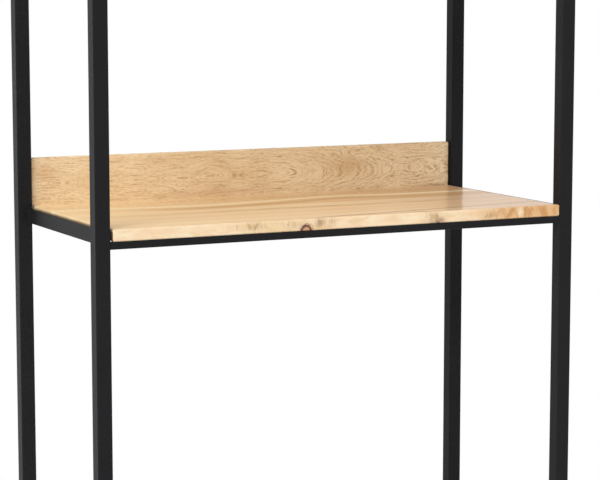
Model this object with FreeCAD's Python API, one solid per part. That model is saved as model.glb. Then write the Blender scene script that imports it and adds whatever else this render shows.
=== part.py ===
import FreeCAD, Part
import os

from FreeCAD import Vector

# Desk with two shelves above it: four square-tube posts joined by welded rails, with solid wood boards.
# Millimetres, +Z up. The origin is on the floor, midway between the posts, and the front faces -Y.

# Whole unit
unit_width = 880.0             # over the outer faces of the posts
unit_depth = 400.0             # over the outer faces of the posts
unit_height = 1800.0           # floor to the top of the post caps
desk_height = 750.0            # floor to the desk's working surface
top_shelf_drop = 12.0          # top of the post caps down to the top shelf's surface
foot_rail_height = 110.0       # floor to the upper face of the low back rail

# Posts, square tube
post_side = 25.0
post_wall = 1.5
post_corner = 2.0
post_bore_corner = 0.6

# Side rails, flat bar on edge between the front and the back post
side_bar_height = 25.0
side_bar_thickness = 3.0
side_bar_edge_round = 0.5
left_bar_drop = 4.0            # board's upper face down to the left bar's upper edge
right_bar_drop = 1.0           # the right bar stands a little higher

# Front and back rails, small square tube under the boards
rail_side = 12.0
rail_wall = 1.2
rail_corner = 1.5
rail_bore_corner = 0.4

# Welds
side_bead_leg = 3.5
rail_bead_leg = 3.0
bead_crown_share = 0.6         # 0.5 would be a flat fillet
corner_fill_gap = 0.05         # ground weld to the post's rounded corner
corner_fill_setback = 0.5      # ground weld's face behind the faces of post and rail

# Boards
board_thickness = 20.0
board_edge_round = 3.0
board_left_gap = 4.0           # board's left end to the post's inner face
board_right_gap = 1.0          # the board sits a little to the right

# Backboard, standing on the back of the desk
backboard_height = 82.0
backboard_thickness = 16.0
backboard_edge_round = 2.5
backboard_end_gap = 1.5

# Wood screws, seated inside the rails and driven up through their upper walls
screw_diameter = 4.0
screw_tip_length = 5.0
screw_tip_diameter = 0.8
screw_head_diameter = 8.0
screw_head_height = 2.4
screw_head_bevel = 0.9
screw_slot_length = 4.6
screw_slot_width = 1.1
screw_slot_depth = 1.3
board_screw_grip = 14.0        # length held in the wood
backboard_screw_grip = 30.0
screw_hole_clearance = 0.2     # all round, where the screw passes through
screw_access_clearance = 0.6   # all round the head, in the rail's lower wall
screw_pilot_clearance = 0.05   # all round, where the screw holds
screw_pilot_relief = 1.0       # pilot hole past the screw's tip
screw_place_shares = (-0.42, 0.0, 0.42)    # of the board's length, from its middle

# Plastic inserts in both ends of every post
insert_depth = 17.0
insert_core_side = 17.0
insert_core_wall = 1.8
insert_core_corner = 2.0
insert_fin_thickness = 1.0
insert_fin_count = 3
insert_fin_pitch = 5.0
insert_fin_start = 3.0         # post's end to the first fin
insert_fin_clearance = 0.1     # fin to the post's bore
cap_thickness = 3.0
cap_edge_bevel = 0.8
foot_height = 6.0
foot_edge_bevel = 1.2

# Cuts run past the faces that they open
cut_overrun = 1.0

# Heights that follow
top_shelf_height = unit_height - top_shelf_drop
middle_shelf_height = (desk_height + top_shelf_height) / 2
post_inner_x = unit_width / 2 - post_side
post_inner_y = unit_depth / 2 - post_side
side_bar_outer_x = post_inner_x + post_corner + side_bar_thickness
rail_centre_y = unit_depth / 2 - rail_side / 2
board_length = 2 * post_inner_x - board_left_gap - board_right_gap
board_middle_x = (board_left_gap - board_right_gap) / 2

# Left and right, front and back, as signs of X and Y
SIDES = {"left": -1, "right": 1}
ENDS = {"front": -1, "back": 1}
bar_drops = {SIDES["left"]: left_bar_drop, SIDES["right"]: right_bar_drop}
X_AXIS = Vector(1, 0, 0)
Y_AXIS = Vector(0, 1, 0)
Z_AXIS = Vector(0, 0, 1)
ORIGIN = Vector(0, 0, 0)
QUARTER_TURN = 90


# Shared shapes
def rounded_prism(width, depth, length, corner):
    """A rounded rectangle centred on the origin, drawn up from z = 0."""
    box = Part.makeBox(width, depth, length, Vector(-width / 2, -depth / 2, 0))
    upright = [edge for edge in box.Edges if abs(edge.tangentAt(edge.FirstParameter).z) > 0.5]
    return box.makeFillet(corner, upright)


def square_tube(side, wall, corner, bore_corner, length):
    bore_side = side - 2 * wall
    tube = rounded_prism(side, side, length, corner)
    return tube.cut(rounded_prism(bore_side, bore_side, length, bore_corner))


def laid_along(axis, shape):
    """Turns a shape drawn up Z so that it runs along +X or +Y instead."""
    turned = shape.copy()
    if axis == X_AXIS:
        turned.rotate(ORIGIN, Y_AXIS, QUARTER_TURN)
    else:
        turned.rotate(ORIGIN, X_AXIS, -QUARTER_TURN)
    return turned


def moved(shape, x, y, z):
    placed = shape.copy()
    placed.translate(Vector(x, y, z))
    return placed


def mirrored(shape, side, end):
    """Copies a piece of the right back corner to the corner with these signs of X and Y."""
    placed = shape.copy()
    if side < 0:
        placed = placed.mirror(ORIGIN, X_AXIS)
    if end < 0:
        placed = placed.mirror(ORIGIN, Y_AXIS)
    return placed


def eased_board(length, depth, thickness, edge_round, square_foot=False):
    """A board with rounded edges, centred on X and Y, resting on z = 0. A square foot stays sharp."""
    box = Part.makeBox(length, depth, thickness, Vector(-length / 2, -depth / 2, 0))
    edges = [edge for edge in box.Edges if edge.CenterOfMass.z > 0 or not square_foot]
    return box.makeFillet(edge_round, edges)


# Posts and their plastic inserts
def post(side, end):
    length = unit_height - cap_thickness - foot_height
    tube = square_tube(post_side, post_wall, post_corner, post_bore_corner, length)
    x = side * (post_inner_x + post_side / 2)
    y = end * (post_inner_y + post_side / 2)
    return moved(tube, x, y, foot_height)


def finned_insert():
    """The hollow plug of an insert, rising from z = 0 into the tube."""
    core = rounded_prism(insert_core_side, insert_core_side, insert_depth, insert_core_corner)
    fin_side = post_side - 2 * (post_wall + insert_fin_clearance)
    for place in range(insert_fin_count):
        fin = rounded_prism(fin_side, fin_side, insert_fin_thickness, post_bore_corner)
        core = core.fuse(moved(fin, 0, 0, insert_fin_start + place * insert_fin_pitch))
    hollow_side = insert_core_side - 2 * insert_core_wall
    hollow_corner = Vector(-hollow_side / 2, -hollow_side / 2, 0)
    return core.cut(Part.makeBox(hollow_side, hollow_side, insert_depth, hollow_corner))


def end_plate(thickness, edge_bevel):
    """The visible plate of an insert, hanging below z = 0 with its outer edge bevelled."""
    plate = moved(rounded_prism(post_side, post_side, thickness, post_corner), 0, 0, -thickness)
    rim = [edge for edge in plate.Edges if edge.BoundBox.ZMax < -thickness / 2]
    return plate.makeChamfer(edge_bevel, rim)


def foot(side, end):
    plug = finned_insert().fuse(end_plate(foot_height, foot_edge_bevel)).removeSplitter()
    x = side * (post_inner_x + post_side / 2)
    y = end * (post_inner_y + post_side / 2)
    return moved(plug, x, y, foot_height)


def post_cap(side, end):
    plug = finned_insert().fuse(end_plate(cap_thickness, cap_edge_bevel)).removeSplitter()
    plug.rotate(ORIGIN, X_AXIS, 2 * QUARTER_TURN)
    x = side * (post_inner_x + post_side / 2)
    y = end * (post_inner_y + post_side / 2)
    return moved(plug, x, y, unit_height - cap_thickness)


# Rails
def side_rail(side, rail_top):
    """A flat bar on edge, flush against both posts, clear of their rounded inner corners."""
    bar = rounded_prism(side_bar_thickness, side_bar_height, 2 * post_inner_y, side_bar_edge_round)
    upper_edge = rail_top + board_thickness - bar_drops[side]
    x = side * (side_bar_outer_x - side_bar_thickness / 2)
    return moved(laid_along(Y_AXIS, bar), x, -post_inner_y, upper_edge - side_bar_height / 2)


def cross_rail(end, rail_top, screw_places):
    """A small square tube between two posts, drilled above for the screws and below for their heads."""
    tube = square_tube(rail_side, rail_wall, rail_corner, rail_bore_corner, 2 * post_inner_x)
    rail = moved(laid_along(X_AXIS, tube), -post_inner_x, end * rail_centre_y, rail_top - rail_side / 2)
    reach = rail_side / 2 + cut_overrun
    for x in screw_places:
        middle = Vector(x, end * rail_centre_y, rail_top - rail_side / 2)
        rail = rail.cut(Part.makeCylinder(screw_diameter / 2 + screw_hole_clearance, reach, middle))
        access_radius = screw_head_diameter / 2 + screw_access_clearance
        rail = rail.cut(Part.makeCylinder(access_radius, reach, middle, -Z_AXIS))
    return rail


# Welds
def fillet_bead(leg, length):
    """A convex fillet in the corner between the planes x = 0 and y = 0, drawn up from z = 0."""
    corner = Vector(0, 0, 0)
    along_x = Vector(leg, 0, 0)
    along_y = Vector(0, leg, 0)
    crown = Vector(leg * bead_crown_share, leg * bead_crown_share, 0)
    outline = [
        Part.makeLine(corner, along_x),
        Part.Arc(along_x, crown, along_y).toShape(),
        Part.makeLine(along_y, corner),
    ]
    return Part.Face(Part.Wire(outline)).extrude(Vector(0, 0, length))


def side_rail_bead(side, end, rail_top):
    """Joins a flat bar's outer face to the face of the post at its end."""
    bead = fillet_bead(side_bead_leg, side_bar_height)
    bead = bead.mirror(ORIGIN, Y_AXIS)
    lower_edge = rail_top + board_thickness - bar_drops[side] - side_bar_height
    return mirrored(moved(bead, side_bar_outer_x, post_inner_y, lower_edge), side, end)


def cross_rail_bead(side, end, rail_top):
    """Joins a rail's hidden inner face to the inner face of the post at its end."""
    bead = fillet_bead(rail_bead_leg, rail_side)
    bead.rotate(ORIGIN, Z_AXIS, 2 * QUARTER_TURN)
    inner_face_y = unit_depth / 2 - rail_side
    return mirrored(moved(bead, post_inner_x, inner_face_y, rail_top - rail_side), side, end)


def ground_corner_fill(side, end, rail_top):
    """Weld metal ground back, in the groove between a rail's end and the post's rounded corner."""
    base = Vector(post_inner_x, unit_depth / 2 - post_corner, rail_top - rail_side)
    block = Part.makeBox(post_corner, post_corner - corner_fill_setback, rail_side, base)
    corner_axis = Vector(post_inner_x + post_corner, unit_depth / 2 - post_corner, rail_top - rail_side)
    rounding = Part.makeCylinder(post_corner + corner_fill_gap, rail_side, corner_axis)
    return mirrored(block.cut(rounding), side, end)


def weld_group(rail_top, rail_ends):
    beads = []
    for side in SIDES.values():
        for end in ENDS.values():
            beads.append(side_rail_bead(side, end, rail_top))
        for end in rail_ends:
            beads.append(cross_rail_bead(side, end, rail_top))
            beads.append(ground_corner_fill(side, end, rail_top))
    return Part.makeCompound(beads)


# Wood screws
def wood_screw(length):
    """A pan-head screw pointing up, its head hanging below z = 0, with a cross slot."""
    shank = Part.makeCylinder(screw_diameter / 2, length - screw_tip_length)
    tip_base = Vector(0, 0, length - screw_tip_length)
    tip = Part.makeCone(screw_diameter / 2, screw_tip_diameter / 2, screw_tip_length, tip_base)
    head_base = Vector(0, 0, -screw_head_height)
    head = Part.makeCylinder(screw_head_diameter / 2, screw_head_height, head_base)
    rim = [edge for edge in head.Edges if edge.BoundBox.ZMax < -screw_head_height / 2]
    head = head.makeChamfer(screw_head_bevel, rim)
    slot_base = -screw_head_height - cut_overrun
    slot_height = screw_slot_depth + cut_overrun
    for width, depth in ((screw_slot_length, screw_slot_width), (screw_slot_width, screw_slot_length)):
        slot_corner = Vector(-width / 2, -depth / 2, slot_base)
        head = head.cut(Part.makeBox(width, depth, slot_height, slot_corner))
    return head.fuse(shank).fuse(tip).removeSplitter()


def screw_group(length, places, rail_top):
    """Screws at the places given as (x, y), with their heads seated under the rails' upper walls."""
    screw = wood_screw(length)
    return Part.makeCompound([moved(screw, x, y, rail_top - rail_wall) for x, y in places])


def pilot_hole(x, y, base, depth):
    radius = screw_diameter / 2 + screw_pilot_clearance
    hole_base = Vector(x, y, base - cut_overrun)
    return Part.makeCylinder(radius, depth + screw_pilot_relief + cut_overrun, hole_base)


def passing_hole(x, y, base, depth):
    radius = screw_diameter / 2 + screw_hole_clearance
    return Part.makeCylinder(radius, depth + 2 * cut_overrun, Vector(x, y, base - cut_overrun))


# Boards
def board(rail_top, held_places, passed_places):
    """A board on its two rails, with pilot holes where screws hold and through holes where they pass."""
    plank = eased_board(board_length, unit_depth, board_thickness, board_edge_round)
    plank = moved(plank, board_middle_x, 0, rail_top)
    for x, y in held_places:
        plank = plank.cut(pilot_hole(x, y, rail_top, board_screw_grip))
    for x, y in passed_places:
        plank = plank.cut(passing_hole(x, y, rail_top, board_thickness))
    return plank


def backboard(desk_top, screw_places):
    """An upright board on the back of the desk, its rear face in line with the backs of the posts."""
    length = 2 * (post_inner_x - backboard_end_gap)
    plank = eased_board(
        length, backboard_thickness, backboard_height, backboard_edge_round, square_foot=True
    )
    plank = moved(plank, 0, unit_depth / 2 - backboard_thickness / 2, desk_top)
    for x, y in screw_places:
        plank = plank.cut(pilot_hole(x, y, desk_top, backboard_screw_grip))
    return plank


# Assembly
screw_xs = [share * board_length for share in screw_place_shares]
front_places = [(x, ENDS["front"] * rail_centre_y) for x in screw_xs]
back_places = [(x, ENDS["back"] * rail_centre_y) for x in screw_xs]
board_screw_length = rail_wall + board_screw_grip
backboard_screw_length = rail_wall + board_thickness + backboard_screw_grip
nodes = {}

for end_name, end in ENDS.items():
    for side_name, side in SIDES.items():
        nodes[f"{end_name}_{side_name}_post"] = post(side, end)
        nodes[f"{end_name}_{side_name}_foot"] = foot(side, end)
        nodes[f"{end_name}_{side_name}_post_cap"] = post_cap(side, end)

levels = {"desk": desk_height, "middle_shelf": middle_shelf_height, "top_shelf": top_shelf_height}
for level, surface in levels.items():
    rail_top = surface - board_thickness
    for side_name, side in SIDES.items():
        nodes[f"{level}_{side_name}_rail"] = side_rail(side, rail_top)
    for end_name, end in ENDS.items():
        nodes[f"{level}_{end_name}_rail"] = cross_rail(end, rail_top, screw_xs)
    nodes[f"{level}_welds"] = weld_group(rail_top, ENDS.values())
    held = front_places if level == "desk" else front_places + back_places
    passed = back_places if level == "desk" else []
    nodes[f"{level}_board"] = board(rail_top, held, passed)
    nodes[f"{level}_board_screws"] = screw_group(board_screw_length, held, rail_top)

desk_rail_top = desk_height - board_thickness
nodes["desk_backboard"] = backboard(desk_height, back_places)
nodes["desk_backboard_screws"] = screw_group(backboard_screw_length, back_places, desk_rail_top)

for side_name, side in SIDES.items():
    nodes[f"foot_{side_name}_rail"] = side_rail(side, foot_rail_height)
nodes["foot_back_rail"] = cross_rail(ENDS["back"], foot_rail_height, [])
nodes["foot_welds"] = weld_group(foot_rail_height, [ENDS["back"]])

os.makedirs("parts", exist_ok=True)
for name, shape in nodes.items():
    shape.exportStep(f"parts/{name}.step")
print(len(nodes), "nodes,", sum(len(shape.Solids) for shape in nodes.values()), "solids")
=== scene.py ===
# %% [markdown]
# # A desk with shelves, in black steel and pale mango wood
# The frame is welded from black square tube and flat bar, and the boards are lacquered mango wood. The
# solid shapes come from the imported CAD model, so this script only dresses them: it gives every piece a
# finish, lays the weld beads, lights the set and points the camera.

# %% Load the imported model
import math

import bpy
import bmesh
from mathutils import Matrix, Vector


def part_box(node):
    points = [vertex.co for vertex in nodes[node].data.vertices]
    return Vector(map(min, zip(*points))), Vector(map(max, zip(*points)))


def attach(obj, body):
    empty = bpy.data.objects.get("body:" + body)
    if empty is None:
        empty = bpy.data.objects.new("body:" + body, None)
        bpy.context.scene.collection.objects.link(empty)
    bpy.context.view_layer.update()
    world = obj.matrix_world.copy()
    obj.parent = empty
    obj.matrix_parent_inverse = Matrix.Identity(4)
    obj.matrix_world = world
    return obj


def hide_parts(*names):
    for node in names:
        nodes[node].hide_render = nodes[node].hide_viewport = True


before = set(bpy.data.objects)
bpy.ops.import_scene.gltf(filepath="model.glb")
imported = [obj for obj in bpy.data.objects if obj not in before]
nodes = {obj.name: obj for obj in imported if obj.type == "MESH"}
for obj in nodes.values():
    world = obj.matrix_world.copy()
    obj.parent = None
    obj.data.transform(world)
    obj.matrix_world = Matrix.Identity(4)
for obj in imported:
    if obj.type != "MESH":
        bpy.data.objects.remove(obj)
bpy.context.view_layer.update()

# %% [markdown]
# ## The camera
# The picture is taken from the front left, a little above the desk, with a long lens from almost four
# metres away. The place, the turn and the focal length were solved from the post edges and the corners of
# the board. The focal length is in pixels of a picture 600 pixels wide, so it becomes a lens by the width
# of the sensor.

# %% Camera
picture_width = 600
focal_pixels = 2106.35
sensor_width = 36.0
camera_place = (-1.57858, -3.25998, 1.14292)
camera_turn, camera_dip = 0.45373, 0.12482

lens = bpy.data.cameras.new("desk_camera")
lens.sensor_width = sensor_width
lens.lens = focal_pixels / picture_width * sensor_width
camera = bpy.data.objects.new("desk_camera", lens)
camera.location = camera_place
camera.rotation_euler = (math.pi / 2 - camera_dip, 0, -camera_turn)
bpy.context.scene.collection.objects.link(camera)
bpy.context.scene.camera = camera
bpy.context.scene.view_settings.view_transform = "Standard"
print("lens:", round(lens.lens, 2), "mm")

# %% [markdown]
# ## Writing shader maths as sums
# A wood finish needs dozens of small sums. Wiring each one by hand hides what is being worked out, so a
# small class wraps one socket: two wrapped sockets can be added, subtracted, multiplied or divided, and
# each such step adds a Math node. Every other node comes from its one method, which sets the node's
# settings first and then fills its sockets.

# %% A socket that can be reckoned with
class Wire:
    """One socket of a node tree, used as a number."""

    def __init__(self, tree, socket=None):
        self.tree, self.socket = tree, socket

    def node(self, kind, settings=None, sockets=None, output=0):
        made = self.tree.nodes.new(kind)
        for name, value in (settings or {}).items():
            setattr(made, name, value)
        for name, value in (sockets or {}).items():
            if isinstance(value, Wire):
                self.tree.links.new(value.socket, made.inputs[name])
            else:
                made.inputs[name].default_value = value
        return Wire(self.tree, made.outputs[output])

    def math(self, operation, *values):
        return self.node("ShaderNodeMath", {"operation": operation}, dict(enumerate(values)))

    def __add__(self, other):
        return self.math("ADD", self, other)

    def __sub__(self, other):
        return self.math("SUBTRACT", self, other)

    def __rsub__(self, other):
        return self.math("SUBTRACT", other, self)

    def __mul__(self, other):
        return self.math("MULTIPLY", self, other)

    def __truediv__(self, other):
        return self.math("DIVIDE", self, other)

    __radd__ = __add__
    __rmul__ = __mul__


print("a Wire adds, subtracts, multiplies and divides")


# %% Helpers for noise and colour
def rise(value, low, high):
    """0 below low, 1 above high, and a smooth slope between them."""
    return value.node("ShaderNodeMapRange", {"interpolation_type": "SMOOTHSTEP"},
                      {"Value": value, "From Min": low, "From Max": high})


def cloud(place, scale, detail=2):
    """Soft noise around one half, with lumps about 1 / scale wide."""
    return place.node("ShaderNodeTexNoise", {}, {"Vector": place, "Scale": scale, "Detail": detail})


def tint(share, below, above):
    """One colour where share is 0, another where it is 1."""
    return share.node("ShaderNodeMix", {"data_type": "RGBA"}, {0: share, 6: below, 7: above}, output=2)


def colour(red, green, blue):
    """A colour as it is read off a screen, from 0 to 255, turned into light."""
    def light(level):
        level = level / 255
        return level / 12.92 if level <= 0.04045 else ((level + 0.055) / 1.055) ** 2.4
    return light(red), light(green), light(blue), 1.0


print("middle grey as light:", round(colour(128, 128, 128)[0], 3))

# %% [markdown]
# ## Starting a finish
# Every finish is one Principled shader. What is the same all over the surface is written on the shader's
# own sockets, and only what varies is wired in. Object coordinates are used throughout: every piece has
# its origin at the middle of the floor, so a place on the object is the same number here as in the CAD
# model.

# %% Start and close a material
millimetres = 1000


def start_finish(name, **fixed):
    material = bpy.data.materials.new(name)
    material.use_nodes = True
    shader = material.node_tree.nodes["Principled BSDF"]
    for socket, value in fixed.items():
        shader.inputs[socket.replace("_", " ")].default_value = value
    place = Wire(material.node_tree).node("ShaderNodeTexCoord", output="Object")
    return material, shader, place


def connect(shader, wire, socket):
    wire.tree.links.new(wire.socket, shader.inputs[socket])


def connect_bump(shader, height, strength, distance):
    sockets = {"Strength": strength, "Distance": distance, "Height": height}
    connect(shader, height.node("ShaderNodeBump", {}, sockets), "Normal")


def separate(place):
    """The three parts of a place, in millimetres."""
    parts = [place.node("ShaderNodeSeparateXYZ", {}, {"Vector": place}, axis) for axis in range(3)]
    return [part * millimetres for part in parts]


print("a metre is", millimetres, "millimetres in the finishes")

# %% [markdown]
# ## Black powder coat
# Steel furniture is sprayed with dry powder and baked. The film flows out almost flat but keeps a fine
# orange-peel ripple, about a millimetre from crest to crest. It is dull when seen from the front and
# shines only along the surface, so its specular level is low. A bump alone would hardly show on such a
# dark film, so the ripple's small shadows are also painted into the colour as painted shade, darker in
# the troughs of the peel, and a few paler specks stand for grains of powder that melted late.

# %% Powder coat
drift_scale, peel_scale, speck_scale = 9, 900, 2600
peel_depth = 0.0004
coat_dark, coat_light, coat_speck = colour(26, 26, 27), colour(42, 42, 44), colour(54, 54, 56)

steel_black, shader, place = start_finish("black_powder_coat", Specular_IOR_Level=0.04)
drift = cloud(place, drift_scale, 3)
peel = cloud(place, peel_scale)
speck = rise(cloud(place, speck_scale, 1), 0.66, 0.78)
# painted shade: the colour darkens in the troughs of the peel ripple, over a tone that drifts at random
film = tint(0.4 * drift + 0.6 * rise(peel, 0.32, 0.68), coat_dark, coat_light)
connect(shader, tint(speck, film, coat_speck), "Base Color")
connect(shader, 0.24 + 0.12 * drift + 0.08 * peel, "Roughness")
connect_bump(shader, peel + 0.5 * drift, 0.70, peel_depth)
print("made", steel_black.name)

# %% [markdown]
# ## Moulded plastic
# The feet and the caps are injection moulded. The mould is spark eroded, which leaves a dull, even grain.

# %% Plastic
mould_scale, mould_depth = 1500, 0.0003
plastic_dark, plastic_light = colour(24, 24, 24), colour(36, 36, 36)

plastic_black, shader, place = start_finish("moulded_black_plastic", Specular_IOR_Level=0.3)
grain = cloud(place, mould_scale)
connect(shader, tint(grain, plastic_dark, plastic_light), "Base Color")
connect(shader, 0.5 + 0.2 * grain, "Roughness")
connect_bump(shader, grain, 0.35, mould_depth)
print("made", plastic_black.name)

# %% [markdown]
# ## Zinc on the screws
# The screws under the boards are zinc plated: bright, slightly blue, with dull patches where they were
# driven.

# %% Zinc
patch_scale, pit_scale, pit_depth = 500, 2500, 0.0002
zinc_blue, zinc_warm = colour(168, 172, 178), colour(214, 214, 208)

zinc_bright, shader, place = start_finish("zinc_screw", Metallic=1.0)
patch = cloud(place, patch_scale, 3)
connect(shader, tint(patch, zinc_blue, zinc_warm), "Base Color")
connect(shader, 0.22 + 0.3 * patch, "Roughness")
connect_bump(shader, cloud(place, pit_scale), 0.15, pit_depth)
print("made", zinc_bright.name)

# %% [markdown]
# ## Mango wood
# The boards are solid, so the grain is worked out through the whole thickness and not painted on one
# face. Each stave has its own pith line somewhere below the surface. The distance from that line, a
# little disturbed, is the growth ring, and colour drawn by ring and stretched along the stave gives long
# bands on the faces and arcs on the sawn ends. Pores are short dark dashes that lie along the rings. All
# sizes in the wood are in millimetres.

# %% Wood tones
board_pale, board_honey, board_brown = colour(247, 218, 170), colour(228, 187, 134), colour(192, 146, 95)
plank_pale, plank_honey, plank_brown = colour(251, 229, 192), colour(234, 202, 157), colour(198, 160, 114)
# the second tone darkens the sawn board ends: end grain, and painted shade of the gap beside the posts
pore_brown, end_and_gap_shade_brown = colour(146, 104, 66), colour(104, 72, 44)
sap_cream, sap_peach, sap_yellow = colour(250, 230, 197), colour(243, 209, 171), colour(226, 194, 138)
print("palest tone of the boards, as light:", [round(part, 2) for part in board_pale[:3]])


# %% Lumps, pores and sawn ends
def point(x, y, z):
    """A place made of three numbers, the first of them a socket."""
    return x.node("ShaderNodeCombineXYZ", {}, {"X": x, "Y": y, "Z": z})


def lumps(first, second, third=None, salt=0.0, detail=2):
    """Noise from pairs of a place and the size of a lump there. The salt picks another noise."""
    x, y = [place / size for place, size in (first, second)]
    z = third[0] / third[1] + salt if third else salt
    return cloud(point(x, y, z), 1, detail)


def pores(along, across, through, length, width, share):
    """Short dashes along the grain: 1 inside a dash and 0 elsewhere."""
    cell = point(along / length, across / width, through / width)
    far = along.node("ShaderNodeTexVoronoi", {}, {"Vector": cell, "Scale": 1.0})
    return 1 - rise(far, share * 0.5, share)


def sawn_ends(place):
    """1 on the faces that look left or right, where the grain is cut across."""
    facing = place.node("ShaderNodeNewGeometry", output="Normal")
    sideways = place.node("ShaderNodeSeparateXYZ", {}, {"Vector": facing}, output="X")
    return rise(sideways.math("ABSOLUTE", sideways), 0.6, 0.95)


print("grain helpers: lumps, pores and sawn ends")


# %% Crests, ovals and hills
def crest(value, middle, half):
    """1 where value is at middle, falling away to both sides."""
    away = (value - middle) / half
    return away.math("EXPONENT", 0 - away * away)


def hypotenuse(first, second):
    square = first * first + second * second
    return square.math("SQRT", square)


def oval(along, height, x, z, half_along, half_height):
    """Distance from the middle of an oval: 0 there and 1 on its rim."""
    return hypotenuse((along - x) / half_along, (height - z) / half_height)


def hill(along, height, x, z, half_along, half_height):
    """A round bump of height 1 over one place."""
    far = oval(along, height, x, z, half_along, half_height)
    return far.math("EXPONENT", 0 - far * far)


print("mark helpers: crests, ovals and hills")

# %% [markdown]
# ### Marks on the desk board
# The front edge is where this board shows its age: half of a dark knot sits on the lower arris with
# speckles round it, bark-coloured patches and strokes stand beside it, and the right end is streaked with
# amber. A patch is a soft hill broken up by upright fibres. A stroke is a thin upright line with a lean,
# a top and a foot, and a little trembling keeps it from looking drawn. Places are measured along the
# board from its middle, and heights from the floor.

# %% Tables of the marks
knot_brown, knot_red, speckle_red = colour(84, 20, 0), colour(204, 150, 112), colour(158, 72, 26)
bark_grey, bark_dark, bark_yellow = colour(138, 104, 70), colour(104, 78, 54), colour(190, 148, 88)
amber, amber_light = colour(196, 138, 78), colour(222, 172, 112)
# place along the board, height, half length, half height
knot_oval = (-74.8, 730.5, 8.4, 8.2)
cream_spot = (334.0, 741.0, 5.0, 9.0)
# where along the board the amber and its streaks begin, and where they are full
amber_reach, streak_reach = (215.0, 330.0), (235.0, 330.0)
# place along the board at the top, lean to the right per millimetre down, top, foot, half width, strength
bark_strokes = (
    (-199.0, 0.00, 747.0, 737.0, 1.6, 0.30),
    (-180.0, 0.60, 748.0, 737.0, 1.8, 0.50),
    (-162.0, -0.45, 748.0, 736.0, 2.2, 0.60),
    (-106.0, -0.30, 748.0, 739.0, 1.6, 0.45),
    (-96.0, 0.10, 746.0, 738.0, 1.8, 0.25),
    (-52.0, -0.20, 749.0, 735.0, 3.2, 0.30),
    (158.0, 0.00, 748.0, 732.0, 2.0, 0.35),
    (170.0, 0.00, 746.0, 731.0, 2.0, 0.50),
    (267.0, -0.20, 741.0, 734.0, 1.6, 0.45),
    (274.0, -0.20, 742.0, 734.0, 1.6, 0.50),
    (280.0, -0.30, 743.0, 735.0, 1.4, 0.35),
)
amber_strokes = (
    (292.0, -0.60, 746.0, 734.0, 4.0, 0.45),
    (320.0, -0.70, 749.0, 732.0, 5.5, 0.80),
    (344.0, 0.00, 749.0, 731.0, 2.6, 0.95),
    (356.0, -0.30, 749.0, 733.0, 5.0, 0.60),
    (380.0, 0.10, 748.0, 733.0, 4.5, 0.55),
    (402.0, 0.20, 748.0, 733.0, 4.0, 0.60),
)
# place along the board, height, half length, half height, strength, tone
bark_patches = (
    (-140.0, 742.0, 62.0, 13.0, 0.60, sap_yellow),
    (-170.0, 741.0, 18.0, 7.0, 0.50, bark_yellow),
    (-98.0, 741.0, 12.0, 7.0, 0.55, bark_yellow),
    (-50.0, 742.0, 7.0, 6.0, 0.70, bark_grey),
    (-38.0, 742.0, 17.0, 7.0, 0.80, bark_yellow),
    (165.0, 741.0, 13.0, 9.0, 0.75, bark_yellow),
    (170.0, 731.0, 12.0, 4.5, 0.95, bark_dark),
    (178.0, 736.0, 5.0, 4.0, 0.80, bark_dark),
    (274.0, 738.0, 12.0, 6.0, 0.65, bark_yellow),
)
print("marks on the front edge:", len(bark_strokes), "bark strokes,", len(amber_strokes), "amber strokes,",
      len(bark_patches), "patches and a knot")


# %% Paint the front edge
def stroke(along, height, x, lean, top, foot, half):
    ends = rise(height, foot - 2, foot + 3) * (1 - rise(height, top - 3, top + 2))
    return ends * crest(along - lean * (top - height), x, half)


def paint_amber_end(body, along, height, front, tremor):
    body = tint(0.75 * front * rise(along + 80 * tremor, *amber_reach), body, amber_light)
    streak = rise(lumps((along + 0.5 * height, 5.0), (height, 40), salt=5.0, detail=3), 0.46, 0.62)
    body = tint(0.6 * front * streak * rise(along, *streak_reach), body, amber)
    for x, lean, top, foot, half, strength in amber_strokes:
        mark = stroke(along + 7 * tremor, height, x, lean, top, foot, half)
        body = tint(strength * front * mark, body, amber)
    return body


def paint_bark(body, along, height, front, tremor):
    ragged = rise(lumps((along, 2.5), (height, 3.5), salt=2.0), 0.26, 0.50)
    fibre = rise(lumps((along, 2.8), (height, 16), salt=7.0), 0.34, 0.60)
    shaken = along + 7 * tremor
    for x, z, half_along, half_height, strength, tone in bark_patches:
        patch = hill(shaken, height, x, z, half_along, half_height)
        body = tint(strength * front * (0.3 + 0.7 * fibre) * patch, body, tone)
    for x, lean, top, foot, half, strength in bark_strokes:
        mark = ragged * stroke(shaken, height, x, lean, top, foot, half)
        body = tint(strength * front * mark, body, bark_grey)
    return tint(0.8 * front * hill(shaken, height, *cream_spot), body, sap_cream)


def paint_knot(body, along, height, front, tremor):
    speck = rise(lumps((along, 1.7), (height, 1.7), salt=8.0, detail=1), 0.48, 0.60)
    knot = oval(along, height, *knot_oval) + 0.3 * tremor
    body = tint(0.9 * front * speck * crest(knot, 1.35, 0.40), body, speckle_red)
    body = tint(0.9 * front * (1 - rise(knot, 0.70, 0.95)), body, knot_red)
    return tint(front * crest(knot, 0.98, 0.29), body, knot_brown)


def paint_front_edge(body, along, height, front):
    tremor = lumps((along, 6), (height, 6), salt=3.0) - 0.5
    for paint in (paint_amber_end, paint_bark, paint_knot):
        body = paint(body, along, height, front, tremor)
    return body


print("the front edge is painted from the amber end to the knot")

# %% [markdown]
# ### Bands on the desk top
# Along the top the staves differ more than on the shelves. Brown, peach and cream bands lie along the
# board, broken here and there. The foremost joint runs at a slant and is dark on the right, where a short
# branch leaves it. A cream line of sapwood wanders along the joint of the rearmost stave, with a brown
# band in front of it. That stave looks like the plank of the backboard: it is paler, with dark flecks
# along it. The left end of the board is a shade lighter and the right end a shade browner. Distances are
# measured across the board from its middle, to the back.

# %% Tables of the bands
peach, rosy_brown, fleck_brown = colour(236, 196, 153), colour(208, 166, 124), colour(168, 124, 80)
plank_white, sap_white, sap_light = colour(255, 240, 210), colour(255, 238, 200), colour(250, 220, 170)
band_brown = colour(198, 148, 88)
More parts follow.
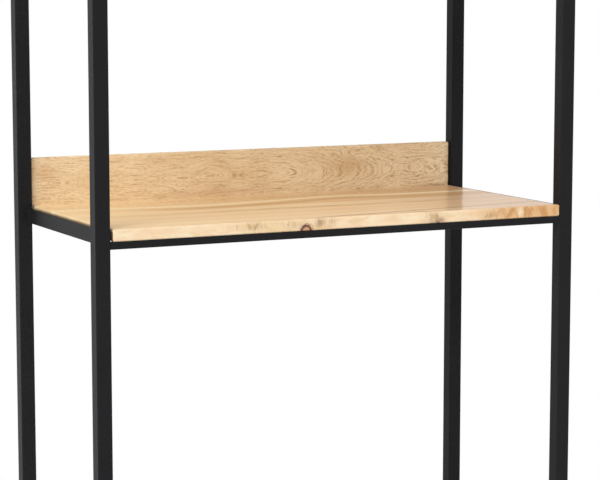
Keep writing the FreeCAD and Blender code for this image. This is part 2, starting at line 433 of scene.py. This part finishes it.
# distance across the board, half width, strength, tone
desk_bands = (
    (-192.0, 6.0, 0.60, board_brown),
    (-178.0, 12.0, 0.60, sap_peach),
    (-100.0, 34.0, 0.60, peach),
    (-42.0, 11.0, 0.80, board_brown),
    (-12.0, 13.0, 0.60, sap_cream),
)
# distance across the board or place along it, and half width
dark_joint, dark_branch = (-186.0, 3.5), (66.0, 3.0)
joint_slant, branch_slant = 0.123, 0.42
cream_line, brown_line = (82.0, 9.0), (42.0, 17.0)
# place along the board, half length, and how far to the front both lines bend there
line_bends = ((-150.0, 130.0, 24.0), (125.0, 80.0, -18.0))
# where a tone begins to change along the board, and where the change is full
light_reach, rosy_reach = (-420.0, 120.0), (60.0, 380.0)
joint_reach, brown_reach = (-110.0, 20.0), (-330.0, -170.0)
# the same, across the board
branch_reach, fleck_reach, white_reach = (-174.0, -168.0), (92.0, 100.0), (120.0, 186.0)
# length, width and the share of the width that is dark
fleck_shape = (16.0, 5.0, 0.38)
print("bands on the desk top:", len(desk_bands), "with a joint, a branch and two lines more")


# %% Paint the desk top
def paint_bands(body, along, across, wave):
    sway = lumps((along, 300), (across, 200), salt=9.0, detail=1)
    bend = across + 16 * (wave - 0.5) + 20 * (sway - 0.5)
    breaks = lumps((along, 70), (across, 9), salt=4.0)
    for middle, half, strength, shade in desk_bands:
        body = tint(strength * crest(bend, middle, half) * rise(breaks, 0.25, 0.55), body, shade)
    body = tint(0.70 * (1 - rise(along, *light_reach)), body, sap_light)
    return tint(0.75 * rise(along, *rosy_reach), body, rosy_brown)


def paint_joint(body, along, across, wave):
    joint = crest(across - joint_slant * along + 3 * (wave - 0.5), *dark_joint)
    body = tint(0.9 * joint * rise(along, *joint_reach), body, bark_grey)
    branch = crest(along + branch_slant * across, *dark_branch) * (1 - rise(across, *branch_reach))
    return tint(0.7 * branch, body, bark_grey)


def paint_rear_stave(body, along, across, depth, wave):
    wander = across
    for middle, half, bend in line_bends:
        wander = wander + bend * crest(along, middle, half)
    wander = wander + 6 * (wave - 0.5)
    flecks = pores(along + 3 * wave, across, depth, *fleck_shape) * rise(wander, *fleck_reach)
    body = tint(0.80 * crest(wander, *brown_line) * rise(along, *brown_reach), body, band_brown)
    body = tint(0.30 * rise(across, *white_reach), body, plank_white)
    body = tint(0.5 * flecks, body, fleck_brown)
    return tint(0.95 * crest(wander, *cream_line), body, sap_white)


def paint_desk_top(body, along, across, depth, wave):
    body = paint_bands(body, along, across, wave)
    body = paint_joint(body, along, across, wave)
    return paint_rear_stave(body, along, across, depth, wave)


print("the desk top is painted from the bands to the rear stave")

# %% [markdown]
# ### Shelf and desk boards
# A board is glued up from staves side by side. Their tones differ a little, and a hairline shows at each
# glue joint. The front stave has pale sapwood at its outer edge, which is why the front edge is lighter
# than the top. The sawn ends drink more lacquer and are darker, and the same darkening is painted shade
# of the narrow gap between the board and the posts: it begins a few millimetres below the upper arris,
# about where the top of the side bar lies.

# %% Tables of the staves
# far edge across the board, tone, how strongly the pores show, pith across the board, pith below the surface
desk_staves = (
    (-148.0, -0.10, 0.10, -150.0, -60.0),
    (-22.0, 0.05, 0.12, -20.0, -45.0),
    (92.0, 0.15, 0.15, 70.0, -70.0),
    (200.0, 0.15, 0.90, 150.0, -40.0),
)
middle_staves = (
    (-118.0, 0.05, 0.25, -170.0, -50.0),
    (-40.0, -0.15, 0.15, -60.0, -80.0),
    (66.0, 0.20, 0.45, 40.0, -38.0),
    (140.0, -0.05, 0.20, 90.0, -65.0),
    (200.0, 0.15, 0.50, 190.0, -45.0),
)
top_staves = (
    (-130.0, 0.12, 0.35, -120.0, -42.0),
    (-10.0, -0.08, 0.20, -90.0, -75.0),
    (95.0, 0.18, 0.40, 20.0, -55.0),
    (200.0, -0.02, 0.25, 170.0, -48.0),
)
print("staves:", len(desk_staves), len(middle_staves), len(top_staves))


# %% What staves and sapwood add
# where the sapwood begins to end behind the front edge, and where it has ended
sap_reach = (2.0, 7.0)


def staged(steps, values):
    """One value for each stave: the first, and a step to the next at every glue joint."""
    total = values[0]
    for step, before, after in zip(steps, values, values[1:]):
        total = total + (after - before) * step
    return total


def paint_sapwood(body, along, behind, height, wave, salt):
    blotch = lumps((along, 34), (height, 11), salt=salt, detail=3)
    cream = tint(rise(blotch, 0.3, 0.7), sap_peach, sap_cream)
    yellow = lumps((along, 22), (height, 9), salt=salt + 4, detail=3)
    cream = tint(0.5 * rise(yellow, 0.50, 0.68), cream, sap_yellow)
    sap = 1 - rise(behind + 3 * wave, *sap_reach)
    return tint(0.85 * sap, body, cream)


print("sapwood lies on the front edges only")


# %% Board wood
stave_salt, joint_half, glue_half, pore_depth = 9, 0.2, 0.5, 0.0002
# length, width and the share of the width that is dark
long_pore, short_pore = (8.5, 1.4, 0.40), (3.2, 1.0, 0.32)
# where a change begins and where it is full: along the board, behind its front edge and below its top
# the last reach also sets where the painted shade on the sawn ends begins below the top
lively_reach, front_reach, end_shade_reach = (-300.0, 300.0), (1.4, 4.0), (-6.0, -3.0)


def board_wood(name, board, salt, staves, marked=False):
    material, shader, place = start_finish(name, Coat_Roughness=0.15, Specular_IOR_Level=0.2)
    along, across, height = separate(place)
    low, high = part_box(board)
    depth, behind = height - millimetres * high.z, across - millimetres * low.y
    drift = lumps((along, 420), (across, 110), (depth, 90), salt)
    wave = lumps((along, 80), (across, 36), (depth, 30), salt)
    edges, tones, pore_shares, piths_across, piths_below = zip(*staves)
    steps = [rise(across, edge - joint_half, edge + joint_half) for edge in edges[:-1]]
    away, below = across - staged(steps, piths_across), depth - staged(steps, piths_below)
    ring = hypotenuse(away, below) + 24 * drift + 3 * wave
    stave = staged(steps, range(0, stave_salt * len(staves), stave_salt))
    band = lumps((ring, 13), (along, 1100), (stave, 1), salt, detail=3)
    line = lumps((ring, 2.6), (along, 260), salt=salt)
    lively = 1.3 + 1.3 * rise(along, *lively_reach)
    tone = staged(steps, tones) + lively * (band - 0.5) + 0.8 * (line - 0.5) + 0.45
    body = tint(rise(tone, 0.0, 1.0), board_pale, board_honey)
    body = tint(0.65 * rise(tone, 0.75, 1.35), body, board_brown)
    dash = pores(along + 2 * wave, ring, depth, *long_pore) + pores(along, ring, depth, *short_pore)
    body = tint(0.45 * dash * staged(steps, pore_shares), body, pore_brown)
    for edge in edges[:-1]:
        body = tint(0.35 * crest(across, edge, glue_half), body, board_brown)
    if marked:
        body = paint_desk_top(body, along, across, depth, wave)
    body = paint_sapwood(body, along, behind, height, wave, salt)
    if marked:
        body = paint_front_edge(body, along, height, 1 - rise(behind, *front_reach))
    # painted shade: the sawn ends darken as end grain and as the shade of the gap beside the posts, from a
    # few millimetres below the top
    end_grain_and_gap_shade = sawn_ends(place) * (1 - rise(depth, *end_shade_reach))
    connect(shader, tint(0.75 * end_grain_and_gap_shade, body, end_and_gap_shade_brown), "Base Color")
    connect(shader, 0.40 + 0.10 * line + 0.10 * dash, "Roughness")
    connect(shader, 0.28 + 0.24 * band, "Coat Weight")
    connect_bump(shader, line * 0.3 - dash * staged(steps, pore_shares), 0.25, pore_depth)
    return material


desk_wood = board_wood("mango_desk_board", "desk_board", 11.0, desk_staves, marked=True)
middle_wood = board_wood("mango_middle_shelf", "middle_shelf_board", 23.0, middle_staves)
top_wood = board_wood("mango_top_shelf", "top_shelf_board", 37.0, top_staves)
print("made", desk_wood.name, middle_wood.name, top_wood.name)

# %% [markdown]
# ### The backboard
# The upright board behind the desk is one plank with a lively figure of fine lines. On the left and in
# the middle the rings run level, with a dip and a peak where a branch was near. Further right the pith
# goes deeper into the plank, so the rings close in arcs, which point to the right. A small knot and a
# patch of ripples lie among them. All this is one sum, the ring distance: the pith's depth for the arcs,
# hills for the bends and noise for the rest.

# %% Tables of the plank
plank_amber = colour(204, 156, 104)
pith_height, pith_depth, pith_fall = 787.0, 2.0, 42.0
ripple_along, ripple_up = 0.95, 0.5
# length, width and the share of the width that is dark
plank_dash, plank_dot = (12.0, 1.2, 0.32), (3.6, 2.4, 0.36)
# where along the board a change begins, and where it is full
arc_reach, swirl_reach, wavy_reach = (30.0, 290.0), (230.0, 330.0), (-200.0, -120.0)
dot_reach, pale_reach = (120.0, 260.0), (-330.0, 120.0)
# place along the board, height, half length, half height
ripple_patch = (203.0, 793.0, 34.0, 16.0)
# painted shade in the corner where the plank stands on the desk, beside the right post
foot_corner_shade = (385.0, 752.0, 26.0, 2.5)
# the same, and how far the rings bend
ring_bends = (
    (-122.0, 766.0, 34.0, 24.0, -11.0),
    (-74.0, 804.0, 24.0, 20.0, -13.0),
    (197.0, 815.0, 15.0, 9.0, 8.0),
)
# the same, and the strength
amber_patches = (
    (205.0, 795.0, 34.0, 15.0, 0.45),
    (-385.0, 806.0, 26.0, 12.0, 0.35),
    (-60.0, 757.0, 90.0, 8.0, 0.40),
)
print("the plank has", len(ring_bends), "bends and", len(amber_patches), "amber patches")


# %% Backboard wood
def plank_ring(along, across, height, wave):
    """The distance from the pith, in millimetres."""
    drift = lumps((along, 140), (height, 70), (across, 60))
    turn = along * ripple_along + height * ripple_up
    ripple = turn.math("SINE", turn) * hill(along, height, *ripple_patch)
    deep = pith_depth + pith_fall * rise(along, *arc_reach)
    ring = hypotenuse(deep, height - pith_height) + (20 + 14 * rise(along, *swirl_reach)) * drift
    ring = ring + (2.5 + 2.0 * rise(along, *wavy_reach)) * wave + 1.2 * ripple
    for x, z, half_along, half_height, bend in ring_bends:
        ring = ring + bend * hill(along, height, x, z, half_along, half_height)
    return ring


def backboard_wood(name):
    material, shader, place = start_finish(name, Specular_IOR_Level=0.2)
    along, across, height = separate(place)
    wave = lumps((along, 26), (height, 14), (across, 14))
    ring = plank_ring(along, across, height, wave)
    band = lumps((ring, 10), (along, 200), (across, 30), detail=3)
    line = 0.55 * lumps((ring, 1.5), (along, 40), (across, 8), detail=1)
    line = line + 0.45 * lumps((ring, 0.8), (along, 9), (across, 8), detail=1)
    patch = lumps((along, 100), (height, 45), salt=6.0)
    dash = pores(along + 3 * wave, ring, across, *plank_dash)
    dot = pores(along, height + 4 * wave, across, *plank_dot) * rise(along, *dot_reach)
    tone = 0.9 * (band - 0.5) + (patch - 0.5) + 0.46 - 0.22 * rise(along, *pale_reach)
    body = tint(rise(tone, 0.0, 1.0), plank_pale, plank_honey)
    body = tint(0.95 * rise(line, 0.44, 0.70), body, plank_brown)
    for x, z, half_along, half_height, strength in amber_patches:
        body = tint(strength * hill(along, height, x, z, half_along, half_height), body, plank_amber)
    body = tint(0.22 * dash, body, pore_brown)
    body = tint(0.25 * dot, body, pore_brown)
    # painted shade along the foot of the plank near the right post
    body = tint(0.6 * hill(along, height, *foot_corner_shade), body, pore_brown)
    connect(shader, tint(0.35 * sawn_ends(place), body, plank_brown), "Base Color")
    connect(shader, 0.46 + 0.10 * line + 0.10 * dash, "Roughness")
    connect_bump(shader, line * 0.3 - dash, 0.3, pore_depth)
    return material


back_wood = backboard_wood("mango_backboard")
print("made", back_wood.name)

# %% [markdown]
# ## Dressing the solids
# The names of the nodes say what each one is made of, so the finish follows from the end of the name. The
# slot list is emptied first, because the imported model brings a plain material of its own.

# %% Give every node its finish
own_wood = {"desk_board": desk_wood, "middle_shelf_board": middle_wood, "top_shelf_board": top_wood,
            "desk_backboard": back_wood}
finish_by_ending = {"post": steel_black, "rail": steel_black, "welds": steel_black, "foot": plastic_black,
                    "cap": plastic_black, "screws": zinc_bright}
for name, solid in nodes.items():
    finish = own_wood.get(name) or finish_by_ending[name.rsplit("_", 1)[-1]]
    solid.data.materials.clear()
    solid.data.materials.append(finish)
print("dressed", len(nodes), "nodes")

# %% [markdown]
# ## Weld beads
# A bead is laid in small overlapping puddles, and each leaves a curved step. The CAD beads are plain
# fillets, so each is drawn again with ripples in a copy of the mesh: its outline is read from the foot of
# the bead and made one face, which is extruded upwards in small steps and drawn in towards the root of
# the weld between two puddles. Nothing grows past the solid. The thin fills at the front and the back
# were ground flush on the real frame and stay as they are.

# %% Find the beads
merge_reach, level_slack = 1e-6, 1e-5
widest_fill = 0.002


def loose_parts(mesh):
    """The vertices of a mesh, grouped by piece."""
    seen, parts = set(), []
    for first in mesh.verts:
        if first in seen:
            continue
        seen.add(first)
        part, waiting = [], [first]
        while waiting:
            vert = waiting.pop()
            part.append(vert)
            near = [edge.other_vert(vert) for edge in vert.link_edges]
            fresh = [other for other in near if other not in seen]
            seen.update(fresh)
            waiting.extend(fresh)
        parts.append(part)
    return parts


def width(part):
    return max(vert.co.x for vert in part) - min(vert.co.x for vert in part)


def outline_and_root(part, low):
    """The outline of a bead in plan, in order, and the corner that lies against both pieces of steel."""
    outline = [vert.co.xy for vert in part if vert.co.z - low < level_slack]
    middle = sum(outline, Vector((0, 0))) / len(outline)
    outline.sort(key=lambda place: math.atan2(place.y - middle.y, place.x - middle.x))
    xs, ys = [place.x for place in outline], [place.y for place in outline]
    corners = [Vector((x, y)) for x in (min(xs), max(xs)) for y in (min(ys), max(ys))]
    open_corner = max(corners, key=lambda corner: min((corner - place).length for place in outline))
    return outline, Vector((min(xs) + max(xs), min(ys) + max(ys))) - open_corner


weld_names = [name for name in nodes if name.endswith("_welds")]
print("nodes with beads:", len(weld_names))

# %% Lay them again with ripples
puddle, steps_per_puddle, valley_share = 0.0016, 6, 0.14


def raise_face(mesh, face, step, share, root):
    """Extrudes a face upwards and draws it in towards the root of the weld."""
    grown = bmesh.ops.extrude_face_region(mesh, geom=[face, *face.edges, *face.verts])["geom"]
    verts = [part for part in grown if isinstance(part, bmesh.types.BMVert)]
    bmesh.ops.translate(mesh, verts=verts, vec=(0, 0, step))
    to_root = Matrix.Translation(-root.to_3d())
    bmesh.ops.scale(mesh, verts=verts, vec=(share, share, 1), space=to_root)
    return next(part for part in grown if isinstance(part, bmesh.types.BMFace))


def lay_bead(mesh, part):
    """Takes a plain bead out of the mesh and lays a rippled one in its place."""
    low, high = min(vert.co.z for vert in part), max(vert.co.z for vert in part)
    outline, root = outline_and_root(part, low)
    bmesh.ops.delete(mesh, geom=part, context="VERTS")
    count = max(1, round((high - low) / puddle)) * steps_per_puddle
    swells = [abs(math.sin(math.pi * step / steps_per_puddle)) for step in range(count + 1)]
    shares = [1 - valley_share * (1 - swell) for swell in swells]
    valley = [root + (place - root) * shares[0] for place in outline]
    face = mesh.faces.new([mesh.verts.new((place.x, place.y, low)) for place in valley])
    for before, after in zip(shares, shares[1:]):
        face = raise_face(mesh, face, (high - low) / count, after / before, root)


for name in weld_names:
    mesh = bmesh.new()
    mesh.from_mesh(nodes[name].data)
    bmesh.ops.remove_doubles(mesh, verts=mesh.verts, dist=merge_reach)
    plain_beads = [part for part in loose_parts(mesh) if width(part) > widest_fill]
    for part in plain_beads:
        lay_bead(mesh, part)
    bmesh.ops.recalc_face_normals(mesh, faces=mesh.faces)
    data = bpy.data.meshes.new(name + "_rippled")
    mesh.to_mesh(data)
    mesh.free()
    data.materials.append(steel_black)
    beads = bpy.data.objects.new(name + "_rippled", data)
    bpy.context.scene.collection.objects.link(beads)
    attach(beads, "root")
    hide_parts(name)
    print(name, "drawn with", len(plain_beads), "rippled beads,", len(data.polygons), "faces")

# %% [markdown]
# ## Floor and light
# The object stands on a wide pale floor in a white studio. The sky gives most of the light, and a large
# soft sun from the front left gives the faces their difference. The camera, and anything that mirrors,
# sees the sky as plain white, which costs the object no extra light. Close to the object the floor keeps
# its shadow, and further out it fades into the same white.

# %% Floor
floor_reach, floor_drop = 40.0, 0.0005
floor_mesh = bmesh.new()
bmesh.ops.create_grid(floor_mesh, x_segments=1, y_segments=1, size=floor_reach)
bmesh.ops.translate(floor_mesh, verts=floor_mesh.verts, vec=(0, 0, -floor_drop))
floor_data = bpy.data.meshes.new("studio_floor")
floor_mesh.to_mesh(floor_data)
floor_mesh.free()
floor = bpy.data.objects.new("studio_floor", floor_data)
bpy.context.scene.collection.objects.link(floor)
print("floor:", 2 * floor_reach, "m wide")


# %% What the camera and mirrors see
def seen_rays(tree):
    """1 for rays from the camera and for mirrored or refracted ones, 0 for the rest."""
    rays = [Wire(tree).node("ShaderNodeLightPath", output=ray)
            for ray in ("Is Camera Ray", "Is Glossy Ray", "Is Transmission Ray")]
    total = rays[0] + rays[1] + rays[2]
    return total.math("MINIMUM", total, 1.0)


pure_white = (1, 1, 1, 1)
shadow_end, white_start = 0.6, 1.15
floor_scale, floor_grey, floor_pale = 3, colour(249, 249, 249), colour(251, 251, 251)
floor_paint, shader, place = start_finish("pale_floor", Roughness=0.9, Specular_IOR_Level=0.0)
connect(shader, tint(cloud(place, floor_scale), floor_grey, floor_pale), "Base Color")
distance = place.node("ShaderNodeVectorMath", {"operation": "LENGTH"}, {0: place}, output="Value")
fade = seen_rays(floor_paint.node_tree) * rise(distance, shadow_end, white_start)
white = place.node("ShaderNodeEmission", {}, {"Color": pure_white, "Strength": 1.0})
lit = Wire(floor_paint.node_tree, shader.outputs["BSDF"])
mixed = place.node("ShaderNodeMixShader", {}, {0: fade, 1: lit, 2: white})
connect(floor_paint.node_tree.nodes["Material Output"], mixed, "Surface")
floor_data.materials.append(floor_paint)
print("floor is white beyond", white_start, "m")

# %% Sky
sky_light = 0.60
sky = bpy.data.worlds.new("white_studio")
sky.use_nodes = True
bpy.context.scene.world = sky
background = sky.node_tree.nodes["Background"]
background.inputs["Color"].default_value = pure_white
connect(background, sky_light + (1 - sky_light) * seen_rays(sky.node_tree), "Strength")
print("sky light:", sky_light)

# %% Sun
sun_energy, sun_spread = 1.8, math.radians(40)
sun_from = Vector((-0.75, -0.58, 0.8))
sun_data = bpy.data.lights.new("soft_sun", "SUN")
sun_data.energy = sun_energy
sun_data.angle = sun_spread
sun = bpy.data.objects.new("soft_sun", sun_data)
sun.rotation_euler = sun_from.to_track_quat("Z", "Y").to_euler()
bpy.context.scene.collection.objects.link(sun)
print("sun from", [round(part, 2) for part in sun_from])
